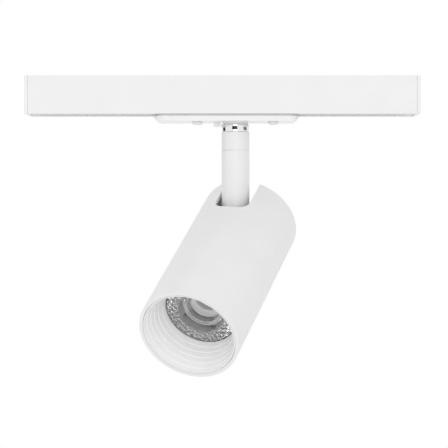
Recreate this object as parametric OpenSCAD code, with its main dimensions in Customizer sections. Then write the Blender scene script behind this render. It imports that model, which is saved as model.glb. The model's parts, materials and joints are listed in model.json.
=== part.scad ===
// Track spotlight: a short surface track, a turn-lock adapter, a swivel stem and a tilting head.
// Origin: centre of the track's ceiling face. +Z up, X along the track, -Y the front. Millimetres.

/* [Track] */
// Overall length of the track with its end caps
track_l = 237; // [200:1:1000]
// Depth of the track from front to rear
track_w = 35; // [34:0.5:44]
// Height of the track below the ceiling
track_h = 22.4; // [22:0.1:28]
// Wall of the aluminium profile
track_wall = 1.6; // [1.2:0.1:2]
// Thickness of an end cap's plate
cap_t = 2; // [1.5:0.1:4]
// Length of the tongue that holds an end cap
cap_tongue_l = 6; // [4:0.5:10]
// Distance between the two ceiling screw holes
mount_pitch = 150; // [130:1:180]
// Diameter of a ceiling screw hole
mount_hole_d = 4.5; // [4:0.1:6]

/* [Conductors] */
// Height of an insulator strip
insulator_h = 12.4; // [11.5:0.1:13]
// Thickness of an insulator strip
insulator_t = 3.6; // [3.3:0.1:4]
// Height of the copper conductor
conductor_h = 4; // [3.8:0.1:5]
// Thickness of the copper conductor
conductor_t = 1.5; // [1:0.1:1.8]
// Height of the groove mouth that a contact runs in
groove_h = 3; // [2.9:0.1:3.4]
// Depth of the conductors' centre line below the ceiling
conductor_drop = 8; // [7.8:0.1:8.4]

/* [Adapter] */
// Place of the stem's axis along the track
stem_x = 7.9; // [-20:0.1:20]
// Reach of the cover plate to the left of the stem
plate_left = 49; // [48:0.5:60]
// Reach of the cover plate to the right of the stem
plate_right = 38; // [37:0.5:60]
// Depth of the cover plate from front to rear
plate_w = 33; // [24:0.5:34]
// Thickness of the cover plate
plate_t = 2.9; // [2.5:0.1:4]
// Distance between the track and the edge of the cover plate
plate_gap = 1.7; // [1:0.1:3]
// Inset of the raised pad on the cover plate, which closes the gap, from the plate's edge
pad_inset = 1; // [0.6:0.1:1.2]
// Corner radius of the cover plate seen from below
plate_corner_r = 6; // [3:0.5:10]
// Length of the chamfer at each end of the cover plate
plate_chamfer = 2.4; // [1:0.1:4]
// Width of the adapter housing, which passes the mouth
housing_w = 17; // [16.8:0.1:17.4]
// Wall of the adapter housing
housing_wall = 1.2; // [1:0.1:1.4]
// Thickness of the housing lid
lid_t = 1.2; // [1:0.1:1.6]
// Distance from the stem's axis to each lock knob's axis
knob_x = 23; // [22.5:0.1:24]
// Diameter of a lock knob
knob_d = 6.6; // [6:0.1:8]
// Height of a lock knob below the plate
knob_h = 1.7; // [1:0.1:3]
// Diameter of a lock knob's shaft
knob_shaft_d = 5; // [4.5:0.1:5.5]
// Half length of a lock cam
cam_reach = 11.4; // [10.8:0.1:11.6]
// Width of a lock cam
cam_w = 6.4; // [6:0.1:7]
// Thickness of a lock cam
cam_t = 2; // [1.5:0.1:2.4]
// Width of a contact arm
contact_w = 4; // [3:0.1:4.5]
// Thickness of a contact arm
contact_t = 2.4; // [1.6:0.1:2.4]

/* [Swivel] */
// Outer diameter of the stem, its collar and its bright ring
stem_d = 16.9; // [16.4:0.1:17.2]
// Diameter of the hollow swivel bolt
swivel_d = 8; // [7.6:0.1:8.4]
// Bore of the swivel bolt for the cable
swivel_bore_d = 5; // [4.8:0.1:5.4]
// Height of the thrust washer that shows as a neck
neck_h = 1.5; // [1.2:0.1:2.5]
// Diameter of the thrust washer
neck_d = 13; // [11:0.1:15]
// Height of the bright ring
ring_h = 4.65; // [4:0.05:6]
// Height of the collar below the bright ring
collar_h = 11.1; // [10:0.1:20]
// Height of the fine joint line between collar and stem
seam_h = 0.4; // [0.3:0.05:0.8]
// Depth of the fine joint line between collar and stem
seam_depth = 0.4; // [0.2:0.05:0.6]
// Drop from the joint line to the hinge axis
stem_drop = 42.65; // [38:0.05:70]
// Diameter of the cable in the stem
cable_d = 4; // [3.5:0.1:4.2]
// Length of the stop lug beside the bright ring
lug_l = 4.4; // [3:0.1:5]
// Width of the stop lug
lug_w = 3; // [2:0.1:4]
// Height of the stop lug below the plate
lug_h = 3; // [2.6:0.1:3.4]
// Diameter of the stop pin on the bright ring
stop_pin_d = 1.5; // [1.2:0.1:1.8]

/* [Head] */
// Outer diameter of the head
head_d = 60; // [60:0.5:70]
// Length of the head
head_l = 117.1; // [114:0.1:160]
// Wall of the head's shell
shell_wall = 2.15; // [1.6:0.05:2.2]
// Distance from the head's rear end to the hinge axis
pivot_back = 19.6; // [19:0.1:21]
// Distance from the head's axis up to the hinge axis
pivot_up = 13.5; // [13:0.1:14]
// Clearance beside the stem on the narrow side of the slot
slot_clear = 0.4; // [0.3:0.05:0.8]
// Half width of the slot on its wide side
slot_wide = 12.6; // [11:0.1:13]
// Radius of the slot's closed corners
slot_corner_r = 8; // [6:0.1:9]
// Thickness of the rear plate
rear_t = 2; // [1.5:0.1:3]
// Angle that the head leans out from straight down
tilt_rest = 56.3; // [0:0.1:90]
// Angle that the head is turned to the left of the front
pan_rest = 21.6; // [-45:0.1:60]

/* [Hinge] */
// Sheet thickness of the hinge bracket
bracket_t = 2; // [1.5:0.1:2.4]
// Radius of the bracket's cheeks round the hinge axis
cheek_r = 8; // [7:0.1:8.4]
// Diameter of a hinge screw's shoulder
hinge_d = 5; // [4.5:0.1:6]
// Diameter of a hinge screw's head
hinge_head_d = 9; // [8:0.1:10]
// Height of a hinge screw's head
hinge_head_h = 2.6; // [2:0.1:3.5]
// Diameter of a hinge friction washer
hinge_washer_d = 12; // [11:0.1:12.6]
// Distance from the rear end to the bracket's base plate
base_back = 36; // [34:0.1:37]

/* [Optics] */
// Distance from the front rim back to the lens
lens_inset = 22.6; // [18:0.1:26]
// Depth of the lens
lens_h = 19.3; // [17:0.1:20]
// Number of ledges inside the baffle
baffle_ledges = 5; // [3:1:7]
// Thickness of the baffle's wall
baffle_wall = 0.9; // [0.8:0.1:1.2]
// Gap between the baffle's rim and the shell
rim_gap = 0.25; // [0.15:0.05:0.4]
// Side of the square light source board
led_side = 19; // [17:0.5:20]
// Diameter of the light source
led_d = 11; // [9:0.5:12]

/* [Heat sink and driver] */
// Thickness of a fin
fin_t = 1.6; // [1.2:0.1:2]
// Distance from one fin to the next
fin_pitch = 4.6; // [4.4:0.1:6]
// Thickness of the heat sink's base disc
sink_t = 6; // [5:0.1:6]
// Diameter of the small machine screws
screw_d = 3; // [2.5:0.1:3]
// Half width of the driver board
board_half_w = 19; // [18:0.5:19]
// Thickness of the driver board
board_t = 1.6; // [1:0.1:2]

/* [Hidden] */
$fn = 96;
eps = 0.01;          // overshoot of a cutter past the face it cuts
fit = 0.05;          // radial clearance of a running fit
seat = 0.02;         // radial clearance of a fixed fit
play = 0.1;          // axial play between faces that turn on each other
gap = 0.3;           // clearance between pieces that move past each other
edge = 0.3;          // small broken edge

// Track section, heights measured down from the ceiling
body_l = track_l - 2 * cap_t;
inner_half_w = track_w / 2 - track_wall;
mouth_clear = 0.5;       // from the adapter to each side of the mouth
mouth_w = housing_w + 2 * mouth_clear;
lip_top = -track_h + track_wall;
roof = -track_wall;
groove_lip = 0.9;
insulator_in = inner_half_w - insulator_t;
conductor_in = insulator_in + groove_lip;

// Adapter heights
plate_top = -track_h - plate_gap;
plate_bottom = plate_top - plate_t;
plate_edge_t = 0.9;
floor_top = plate_top + housing_wall;
spring_room = 2;
lid_top = roof - spring_room;
lid_bottom = lid_top - lid_t;
housing_inset = 1.8;
housing_left = plate_left - housing_inset;
housing_right = plate_right - housing_inset;
housing_in = housing_w / 2 - housing_wall;
cam_z = lip_top + gap;
contact_z = -conductor_drop - contact_t / 2;
contact_reach = conductor_in - gap;
contact_hub_r = 4;
knob_slot_w = 1;
knob_slot_deep = 0.8;
pivot_tip_d = 3;
terminal_t = 1;
terminal_w = 4;
terminal_l = 5.2;
bar_t = 1;
bar_z = -12;
bar_y = 5.3;
core_x = 1.3;
core_y = 1.4;
leads_start = -15;
plate_screw_x = 41;
spring_t = 0.4;
spring_l = 24;
spring_w = 6;
spring_rise = spring_room - spring_t - gap;

// Swivel heights
ring_top = plate_bottom - neck_h;
ring_bottom = ring_top - ring_h;
collar_bottom = ring_bottom - collar_h;
pivot_z = collar_bottom - stem_drop;
stem_r = stem_d / 2;
collar_bore_d = 13.2;
spigot_h = 2;
friction_t = 0.8;
flange_t = 2.5;
flange_d = 12.4;
flange_top = ring_bottom - spigot_h - play - friction_t;
nut_across = 13;
nut_h = 4.5;
thread_past_nut = 1.5;
bolt_top = floor_top + nut_h + thread_past_nut;
stem_spigot_h = 4.5;
stem_bore_d = 9.2;
fork_top = 7;
fork_half = stem_bore_d / 2;
spot_face_x = 7.4;
lug_clear = 0.45;
lug_in = stem_r + lug_clear;
stop_pin_down = 1.1;
stop_pin_z = ring_top - stop_pin_down;
stop_pin_out = 11.2;
stop_pin_in = 5.5;
cable_cut = 1;

// Head sizes, in the head's own frame: Z from the rear end to the front, Y up to the slot
head_r = head_d / 2;
shell_in = head_r - shell_wall;
slot_narrow = stem_r + slot_clear;
slot_end_clear = 0.6;
slot_end = pivot_back + stem_r + slot_end_clear;
cheek_in = stem_r + gap;
cheek_out = cheek_in + bracket_t;
tray_top = -3;
tray_half = 18;
tray_back = 4;
grommet_wall = 1.5;
grommet_lip = 1;
board_drop = 2.4;
board_top = tray_top - bracket_t - board_drop;
board_bottom = board_top - board_t;
board_back = 5;
board_l = 28;
board_inset = 4;
spacer_d = 4;
transformer_w = 14;
transformer_l = 14;
transformer_back = 6;
capacitor_d = 8;
capacitor_x = 12.5;
capacitor_back = 9;
out_block_w = 10;
out_block_h = 6;
lens_front = head_l - lens_inset;
lens_back = lens_front - lens_h;
holder_h = 4.5;
lens_gap = 0.7;          // from the light source's holder to the lens
sink_back = base_back + bracket_t;
sink_front = lens_back - lens_gap - holder_h;
fin_l = sink_front - sink_t - sink_back;
sink_r = shell_in - gap;
boss_r = 4;
boss_inset = 0.55;       // from a tie screw's boss to the edge of the sink
tie_r = sink_r - boss_r - boss_inset;
tie_l = 50;
bracket_screw_l = 10;
bracket_screw_x = 3.5 * fin_pitch;
bracket_screw_y = 8;
holder_screw_x = 16.5;
holder_screw_grip = 3.5;
screw_head_h = 1.6;
screw_head_ratio = 1.8;
hole_past_screw = 0.6;
tie_clear = 2.5;         // from the transformer to the tie screw under it
transformer_h = tie_r - screw_d / 2 - tie_clear + board_bottom;
shell_clear = 1.92;      // from a capacitor's far corner to the shell
capacitor_corner = capacitor_x + capacitor_d / 2;
capacitor_low = sqrt(pow(shell_in - shell_clear, 2) - pow(capacitor_corner, 2));
capacitor_h = capacitor_low + board_bottom;
pad_t = 0.5;
led_board_t = 1.5;
window_clear = 1;
holder_window = led_d + 2 * window_clear;
emitter_t = 0.6;
lens_edge = 6.05;        // from the inside of the shell to the lens that shows
lens_r = shell_in - lens_edge;
lens_flange = 1.1;
lens_flange_r = lens_r + lens_flange;
lens_flange_t = 1.9;
lens_rim = 0.4;          // what the lens's cone stays inside its showing edge
lens_foot = 3;           // width of the lens's foot round its hollow
hollow_clear = 1.5;
lens_hollow_r = led_d / 2 + hollow_clear;
lens_hollow_h = 6;
lens_dome = 1;
lens_bowl_r = 0.56 * lens_r;
lens_floor_r = 0.43 * lens_r;
lens_bowl_h = 8;
lens_curve = 0.62;       // power of the cone's curve
lens_steps = 8;
cup_clear = 1.35;
cup_r = shell_in - cup_clear;
cup_wall = 1.5;
holder_edge = 3;         // from the holder to the cup round it
holder_r = cup_r - cup_wall - holder_edge;
cup_lap = 0.2;
cup_ledge_r = lens_r - cup_lap;
cup_ledge_t = 1;
baffle_foot_t = 1.2;
rim_r = shell_in - rim_gap;
rim_wall = 0.85;         // wall of the baffle at its rim
baffle_front_r = rim_r - rim_wall;
ledge_rings = baffle_ledges + 1;
ledge_step = (baffle_front_r - lens_r) / baffle_ledges;
ledge_pitch = lens_inset / ledge_rings;
ties = [0, 180, 270];
led_lead_x = fin_pitch / 2;
led_lead_d = 1.2;
led_lead_y = -12;
led_lead_hole_r = led_lead_x + led_lead_d;
terminal_front = board_back + board_l;

// Places and frames

module along_track(length) {
    translate([-length / 2, 0, 0])
    rotate([90, 0, 90])
    linear_extrude(length)
    children();
}

module at_stem() {
    translate([stem_x, 0, 0])
    children();
}

module at_knob(side) {
    translate([stem_x + side * knob_x, 0, 0])
    rotate([0, 0, side > 0 ? 180 : 0])
    children();
}

module at_pan() {
    at_stem()
    rotate([0, 0, -pan_rest])
    children();
}

module at_head() {
    at_pan()
    translate([0, 0, pivot_z])
    rotate([180 - tilt_rest, 0, 0])
    translate([0, -pivot_up, -pivot_back])
    children();
}

// Shared shapes

module tube(r_out, r_in, h) {
    difference() {
        cylinder(r = r_out, h = h);
        translate([0, 0, -eps])
        cylinder(r = r_in, h = h + 2 * eps);
    }
}

module square_bar(points, side) {
    last = len(points) - 1;
    for (i = [0 : last - 1]) {
        low = [for (k = [0 : 2]) min(points[i][k], points[i + 1][k]) - side / 2];
        high = [for (k = [0 : 2]) max(points[i][k], points[i + 1][k]) + side / 2];
        translate(low)
        cube(high - low);
    }
}

module machine_screw(length) {
    cylinder(d = screw_d, h = length);
    difference() {
        translate([0, 0, -screw_head_h])
        cylinder(d = screw_head_ratio * screw_d, h = screw_head_h);
        translate([0, 0, -screw_head_h - eps])
        cylinder(d = screw_d, h = screw_head_h / 2, $fn = 6);
    }
}

// Track

module track_profile() {
    color("white")
    difference() {
        along_track(body_l)
        difference() {
            translate([-track_w / 2, -track_h])
            square([track_w, track_h]);
            translate([-inner_half_w, lip_top])
            square([2 * inner_half_w, roof - lip_top]);
            translate([-mouth_w / 2, -track_h - eps])
            square([mouth_w, track_wall + 2 * eps]);
        }
        for (side = [-1, 1])
            translate([side * mount_pitch / 2, 0, roof - eps])
            cylinder(d = mount_hole_d, h = track_wall + 2 * eps);
    }
}

module insulator_section() {
    difference() {
        translate([insulator_in, roof - insulator_h])
        square([insulator_t, insulator_h]);
        translate([conductor_in, -conductor_drop - conductor_h / 2])
        square([conductor_t, conductor_h]);
        translate([insulator_in - eps, -conductor_drop - groove_h / 2])
        square([groove_lip + 2 * eps, groove_h]);
    }
}

module conductor_section() {
    translate([conductor_in, -conductor_drop - conductor_h / 2])
    square([conductor_t, conductor_h]);
}

module front_insulator() {
    color("ivory")
    along_track(body_l)
    mirror([1, 0])
    insulator_section();
}

module rear_insulator() {
    color("ivory")
    along_track(body_l)
    insulator_section();
}

module live_conductor() {
    color("peru")
    along_track(body_l)
    mirror([1, 0])
    conductor_section();
}

module neutral_conductor() {
    color("peru")
    along_track(body_l)
    conductor_section();
}

module end_cap() {
    tongue_half = insulator_in - gap;
    translate([-track_l / 2, -track_w / 2, -track_h])
    cube([cap_t, track_w, track_h]);
    translate([-body_l / 2, -tongue_half, lip_top + gap])
    cube([cap_tongue_l, 2 * tongue_half, roof - lip_top - 2 * gap]);
}

module left_end_cap() {
    color("white")
    end_cap();
}

module right_end_cap() {
    color("white")
    mirror([1, 0, 0])
    end_cap();
}

// Adapter

module plate_outline(inset) {
    w = plate_w - 2 * plate_corner_r;
    l = plate_left + plate_right - 2 * plate_corner_r;
    for (sx = [0, 1], sy = [-1, 1])
        translate([-plate_left + plate_corner_r + sx * l, sy * w / 2])
        circle(r = plate_corner_r - inset);
    translate([-plate_left + inset, -w / 2])
    square([plate_left + plate_right - 2 * inset, w]);
    translate([-plate_left + plate_corner_r, -plate_w / 2 + inset])
    square([l, plate_w - 2 * inset]);
}

module plate_side() {
    step = plate_t - plate_edge_t;
    polygon([
        [-plate_left, plate_top],
        [plate_right, plate_top],
        [plate_right, plate_bottom + step],
        [plate_right - plate_chamfer, plate_bottom],
        [-plate_left + plate_chamfer, plate_bottom],
        [-plate_left, plate_bottom + step]
    ]);
}

// The pad has a pocket for the housing and runs under the track's lips without touching them
module plate_pad() {
    difference() {
        translate([0, 0, plate_top])
        linear_extrude(plate_gap - gap)
        plate_outline(pad_inset);
        translate([-housing_left - seat, -housing_w / 2 - seat, plate_top - eps])
        cube([housing_left + housing_right + 2 * seat, housing_w + 2 * seat, plate_gap]);
    }
}

module adapter_plate() {
    color("white")
    at_stem() {
        difference() {
            intersection() {
                translate([0, plate_w / 2, 0])
                rotate([90, 0, 0])
                linear_extrude(plate_w)
                plate_side();
                translate([0, 0, plate_bottom - eps])
                linear_extrude(plate_t + 2 * eps)
                plate_outline(0);
            }
            translate([0, 0, plate_bottom - eps])
            cylinder(d = swivel_d + 2 * seat, h = plate_t + 2 * eps);
            for (side = [-1, 1])
                translate([side * knob_x, 0, plate_bottom - eps])
                cylinder(d = knob_shaft_d + 2 * fit, h = plate_t + 2 * eps);
            translate([-plate_screw_x, 0, plate_bottom + plate_edge_t])
            cylinder(d = screw_d + 2 * seat, h = plate_t);
        }
        translate([-lug_in - lug_l, -lug_w / 2, plate_bottom - lug_h])
        cube([lug_l, lug_w, lug_h]);
        plate_pad();
    }
}

module cam_window(side) {
    half = sqrt(cam_reach * cam_reach - housing_in * housing_in) + cam_w / 2;
    translate([side * knob_x - half, -housing_w, cam_z - gap])
    cube([2 * half, 2 * housing_w, cam_t + 2 * gap]);
}

module contact_window(side) {
    reach_x = sqrt(contact_reach * contact_reach - housing_in * housing_in) + contact_w / 2 + gap;
    start = contact_w / 2 + 2 * gap;
    translate([side * knob_x, 0, 0])
    rotate([0, 0, side > 0 ? 180 : 0])
    translate([-start, -housing_w, contact_z - gap])
    cube([start + reach_x, housing_w - contact_w / 2, contact_t + 2 * gap]);
}

module adapter_housing() {
    length = housing_left + housing_right;
    color("whitesmoke")
    at_stem()
    difference() {
        translate([-housing_left, -housing_w / 2, plate_top])
        cube([length, housing_w, lid_bottom - plate_top]);
        translate([-housing_left + housing_wall, -housing_in, floor_top])
        cube([length - 2 * housing_wall, 2 * housing_in, lid_bottom - floor_top + eps]);
        for (side = [-1, 1]) {
            cam_window(side);
            contact_window(side);
            translate([side * knob_x, 0, plate_top - eps])
            cylinder(d = knob_shaft_d + 2 * fit, h = housing_wall + 2 * eps);
        }
        translate([0, 0, plate_top - eps])
        cylinder(d = swivel_d + 2 * seat, h = housing_wall + 2 * eps);
        translate([-plate_screw_x, 0, plate_top - eps])
        cylinder(d = screw_d + 2 * seat, h = housing_wall + 2 * eps);
    }
}

module housing_lid() {
    length = housing_left + housing_right;
    color("whitesmoke")
    at_stem()
    difference() {
        translate([-housing_left, -housing_w / 2, lid_bottom])
        cube([length, housing_w, lid_t]);
        for (side = [-1, 1])
            translate([side * knob_x, 0, lid_bottom - eps])
            cylinder(d = pivot_tip_d + 2 * fit, h = lid_t + 2 * eps);
    }
}

module earth_spring() {
    arch_r = (spring_l * spring_l / 4 + spring_rise * spring_rise) / (2 * spring_rise);
    color("goldenrod")
    at_stem()
    translate([0, spring_w / 2, lid_top])
    rotate([90, 0, 0])
    linear_extrude(spring_w)
    intersection() {
        translate([0, spring_rise - arch_r])
        difference() {
            circle(r = arch_r + spring_t);
            circle(r = arch_r);
        }
        translate([-spring_l, 0])
        square([2 * spring_l, 2 * spring_rise]);
    }
}

module plate_screw() {
    color("silver")
    at_stem()
    translate([-plate_screw_x, 0, floor_top])
    mirror([0, 0, 1])
    machine_screw(housing_wall + plate_t - plate_edge_t - play);
}

module contact_terminals() {
    color("goldenrod")
    at_stem()
    for (side = [-1, 1])
        translate([side * (knob_x + contact_hub_r + play + terminal_t / 2), 0, lid_bottom - terminal_l])
        translate([-terminal_t / 2, -terminal_w / 2, 0])
        cube([terminal_t, terminal_w, terminal_l]);
}

module feed_bars() {
    end_x = knob_x + contact_hub_r + play + terminal_t / 2;
    bar_start = leads_start + bar_t / 2;
    color("chocolate")
    at_stem() {
        for (side = [-1, 1])
            square_bar([
                [side * core_x, 0, bar_start],
                [side * core_x, 0, bar_z],
                [side * core_x, -side * bar_y, bar_z],
                [side * end_x, -side * bar_y, bar_z],
                [side * end_x, 0, bar_z],
                [side * end_x, 0, lid_bottom - terminal_l - bar_t / 2]
            ], bar_t);
        square_bar([
            [0, core_y, bar_start],
            [0, core_y, lid_bottom - bar_t / 2]
        ], bar_t);
    }
}

module swivel_bolt() {
    color("silver")
    at_stem()
    difference() {
        union() {
            translate([0, 0, flange_top - flange_t])
            cylinder(d = swivel_d, h = bolt_top - flange_top + flange_t);
            translate([0, 0, flange_top - flange_t])
            cylinder(d = flange_d, h = flange_t);
        }
        translate([0, 0, flange_top - flange_t - eps])
        cylinder(d = swivel_bore_d, h = bolt_top - flange_top + flange_t + 2 * eps);
    }
}

module swivel_nut() {
    color("silver")
    at_stem()
    translate([0, 0, floor_top])
    difference() {
        cylinder(r = nut_across / 2 / cos(30), h = nut_h, $fn = 6);
        translate([0, 0, -eps])
        cylinder(d = swivel_d + 2 * seat, h = nut_h + 2 * eps);
    }
}

module thrust_washer() {
    color("white")
    at_stem()
    translate([0, 0, ring_top + play])
    tube(neck_d / 2, swivel_d / 2 + seat, neck_h - play);
}

module friction_washer() {
    color("dimgray")
    at_stem()
    translate([0, 0, flange_top])
    tube(flange_d / 2, swivel_d / 2 + seat, friction_t);
}

// Turn locks: a knob shaft carries a steel cam and a copper contact arm

module lock_knob() {
    shaft_top = lid_bottom - play;
    difference() {
        union() {
            translate([0, 0, plate_bottom - play - knob_h])
            cylinder(d = knob_d, h = knob_h);
            translate([0, 0, plate_bottom - play - eps])
            cylinder(d = knob_shaft_d, h = shaft_top - plate_bottom + play + eps);
            translate([0, 0, shaft_top - eps])
            cylinder(d = pivot_tip_d, h = lid_t);
        }
        translate([-knob_d, -knob_slot_w / 2, plate_bottom - play - knob_h - eps])
        cube([2 * knob_d, knob_slot_w, knob_slot_deep]);
    }
}

module lock_cam() {
    translate([0, 0, cam_z])
    difference() {
        intersection() {
            translate([-cam_w / 2, -cam_reach, 0])
            cube([cam_w, 2 * cam_reach, cam_t]);
            cylinder(r = cam_reach, h = cam_t);
        }
        translate([0, 0, -eps])
        cylinder(d = knob_shaft_d + 2 * seat, h = cam_t + 2 * eps);
    }
}

module contact_arm() {
    translate([0, 0, contact_z])
    difference() {
        union() {
            cylinder(r = contact_hub_r, h = contact_t);
            intersection() {
                translate([-contact_w / 2, -contact_reach, 0])
                cube([contact_w, contact_reach, contact_t]);
                cylinder(r = contact_reach, h = contact_t);
            }
        }
        translate([0, 0, -eps])
        cylinder(d = knob_shaft_d + 2 * seat, h = contact_t + 2 * eps);
    }
}

module left_lock_knob() {
    color("gainsboro")
    at_knob(-1)
    lock_knob();
}

module left_lock_cam() {
    color("silver")
    at_knob(-1)
    lock_cam();
}

module left_contact_arm() {
    color("peru")
    at_knob(-1)
    contact_arm();
}

module right_lock_knob() {
    color("gainsboro")
    at_knob(1)
    lock_knob();
}

module right_lock_cam() {
    color("silver")
    at_knob(1)
    lock_cam();
}

module right_contact_arm() {
    color("peru")
    at_knob(1)
    contact_arm();
}

// Stem

module bright_ring() {
    color("silver")
    at_pan()
    difference() {
        union() {
            translate([0, 0, ring_bottom])
            rotate_extrude()
            polygon([
                [0, 0],
                [stem_r - edge, 0],
                [stem_r, edge],
                [stem_r, ring_h - edge],
                [stem_r - edge, ring_h],
                [0, ring_h]
            ]);
            translate([0, 0, ring_bottom - spigot_h])
            cylinder(d = collar_bore_d - 2 * seat, h = spigot_h + eps);
        }
        translate([0, 0, ring_bottom - spigot_h - eps])
        cylinder(d = swivel_d + 2 * fit, h = ring_h + spigot_h + 2 * eps);
        translate([0, stop_pin_in, stop_pin_z])
        rotate([-90, 0, 0])
        cylinder(d = stop_pin_d + 2 * seat, h = stem_r);
    }
}

module stop_pin() {
    color("silver")
    at_pan()
    translate([0, stop_pin_in, stop_pin_z])
    rotate([-90, 0, 0])
    cylinder(d = stop_pin_d, h = stop_pin_out - stop_pin_in);
}

module upper_collar() {
    color("white")
    at_pan()
    translate([0, 0, collar_bottom + seam_h / 2])
    tube(stem_r, collar_bore_d / 2, collar_h - seam_h / 2);
}

module stem_body() {
    length = collar_bottom - seam_h / 2 - pivot_z;
    translate([0, 0, pivot_z])
    intersection() {
        translate([0, 0, -stem_r])
        cylinder(r = stem_r, h = length + stem_r);
        union() {
            translate([-stem_r, -stem_r, 0])
            cube([stem_d, stem_d, length]);
            translate([-stem_r, 0, 0])
            rotate([0, 90, 0])
            cylinder(r = stem_r, h = stem_d);
        }
    }
    translate([0, 0, collar_bottom - seam_h / 2 - eps])
    cylinder(r = stem_r - seam_depth, h = seam_h + eps);
    translate([0, 0, collar_bottom])
    cylinder(d = collar_bore_d - 2 * seat, h = stem_spigot_h);
}

module stem_tube() {
    color("white")
    at_pan()
    difference() {
        stem_body();
        translate([0, 0, pivot_z])
        cylinder(d = stem_bore_d, h = stem_drop + stem_spigot_h + eps);
        translate([-fork_half, -stem_d, pivot_z - stem_d])
        cube([2 * fork_half, 2 * stem_d, stem_d + fork_top]);
        translate([0, 0, pivot_z])
        rotate([0, 90, 0]) {
            translate([0, 0, -stem_d])
            cylinder(d = hinge_d + 2 * seat, h = 2 * stem_d);
            translate([0, 0, spot_face_x])
            cylinder(d = hinge_washer_d + 2 * gap, h = stem_d);
            translate([0, 0, -spot_face_x - stem_d])
            cylinder(d = hinge_washer_d + 2 * gap, h = stem_d);
        }
    }
}

module stem_cable() {
    color("gainsboro")
    at_pan()
    translate([0, 0, pivot_z + cable_cut])
    cylinder(d = cable_d, h = leads_start - play - pivot_z - cable_cut);
}

module hinge_screws() {
    outer = cheek_out + play;
    color("silver")
    at_pan()
    translate([0, 0, pivot_z])
    for (side = [0, 180])
        rotate([0, 0, side])
        rotate([0, 90, 0])
        difference() {
            union() {
                translate([0, 0, fork_half])
                cylinder(d = hinge_d, h = outer - fork_half + eps);
                translate([0, 0, outer])
                cylinder(d = hinge_head_d, h = hinge_head_h);
            }
            translate([0, 0, outer + hinge_head_h / 2])
            cylinder(d = hinge_d, h = hinge_head_h, $fn = 6);
        }
}

// Head

module slot_outline() {
    width = slot_narrow + slot_wide;
    r = slot_corner_r;
    translate([-slot_narrow, -shell_wall])
    square([width, slot_end - r + shell_wall]);
    translate([-slot_narrow + r, 0])
    square([width - 2 * r, slot_end]);
    for (x = [-slot_narrow + r, slot_wide - r])
        translate([x, slot_end - r])
        circle(r = r);
}

module slot_cutter() {
    translate([0, 2 * head_r, 0])
    rotate([90, 0, 0])
    linear_extrude(2 * head_r - pivot_up)
    slot_outline();
}

module head_shell() {
    color("white")
    at_head()
    difference() {
        rotate_extrude()
        polygon([
            [shell_in, 0],
            [head_r - edge, 0],
            [head_r, edge],
            [head_r, head_l - edge],
            [head_r - edge, head_l],
            [shell_in, head_l]
        ]);
        slot_cutter();
    }
}

module rear_plate() {
    color("white")
    at_head()
    difference() {
        cylinder(r = shell_in - seat, h = rear_t);
        slot_cutter();
        translate([0, pivot_up, -eps])
        cylinder(r = slot_narrow, h = rear_t + 2 * eps);
        for (a = ties)
            rotate([0, 0, a])
            translate([tie_r, 0, -eps])
            cylinder(d = screw_d + 2 * seat, h = rear_t + 2 * eps);
    }
}

module tie_screws() {
    color("silver")
    at_head()
    for (a = ties)
        rotate([0, 0, a])
        translate([tie_r, 0, 0])
        machine_screw(tie_l);
}

module cheek() {
    translate([cheek_in, 0, 0])
    rotate([90, 0, 90])
    linear_extrude(bracket_t) {
        translate([pivot_up, pivot_back])
        circle(r = cheek_r);
        translate([tray_top - bracket_t, pivot_back])
        square([pivot_up + cheek_r - tray_top + bracket_t, base_back - pivot_back + eps]);
        translate([tray_top - bracket_t, pivot_back - cheek_r])
        square([pivot_up - tray_top + bracket_t, cheek_r]);
    }
}

module hinge_bracket() {
    color("silver")
    at_head()
    difference() {
        union() {
            translate([0, 0, base_back])
            cylinder(r = sink_r, h = bracket_t);
            cheek();
            mirror([1, 0, 0])
            cheek();
            translate([-tray_half, tray_top - bracket_t, tray_back])
            cube([2 * tray_half, bracket_t, base_back - tray_back + eps]);
        }
        translate([-cheek_out - eps, pivot_up, pivot_back])
        rotate([0, 90, 0])
        cylinder(d = hinge_d + 2 * fit, h = 2 * (cheek_out + eps));
        for (a = ties)
            rotate([0, 0, a])
            translate([tie_r, 0, base_back - eps])
            cylinder(d = screw_d + 2 * seat, h = bracket_t + 2 * eps);
        for (side = [-1, 1])
            translate([side * bracket_screw_x, bracket_screw_y, base_back - eps])
            cylinder(d = screw_d + 2 * seat, h = bracket_t + 2 * eps);
        translate([0, led_lead_y, base_back - eps])
        cylinder(r = led_lead_hole_r, h = bracket_t + 2 * eps);
        translate([0, tray_top + eps, pivot_back])
        rotate([90, 0, 0])
        cylinder(d = cable_d + 2 * grommet_wall, h = bracket_t + 2 * eps);
    }
}

module bracket_screws() {
    color("silver")
    at_head()
    for (side = [-1, 1])
        translate([side * bracket_screw_x, bracket_screw_y, base_back])
        machine_screw(bracket_screw_l);
}

module hinge_washers() {
    color("dimgray")
    at_head()
    translate([0, pivot_up, pivot_back])
    for (side = [0, 180])
        rotate([0, 0, side])
        rotate([0, 90, 0])
        translate([0, 0, spot_face_x + play])
        tube(hinge_washer_d / 2, hinge_d / 2 + fit, cheek_in - spot_face_x - play);
}

module cable_grommet() {
    color("dimgray")
    at_head()
    translate([0, tray_top, pivot_back])
    rotate([90, 0, 0])
    difference() {
        union() {
            translate([0, 0, -grommet_lip])
            cylinder(d = cable_d + 2 * (grommet_wall + grommet_lip), h = grommet_lip);
            cylinder(d = cable_d + 2 * grommet_wall - 2 * seat, h = bracket_t);
        }
        translate([0, 0, -grommet_lip - eps])
        cylinder(d = cable_d + 2 * seat, h = bracket_t + grommet_lip + 2 * eps);
    }
}

module head_cable() {
    start = pivot_up - cable_cut - cable_d / 2;
    color("gainsboro")
    at_head()
    translate([0, start, pivot_back])
    rotate([90, 0, 0])
    cylinder(d = cable_d, h = start - board_top);
}

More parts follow.
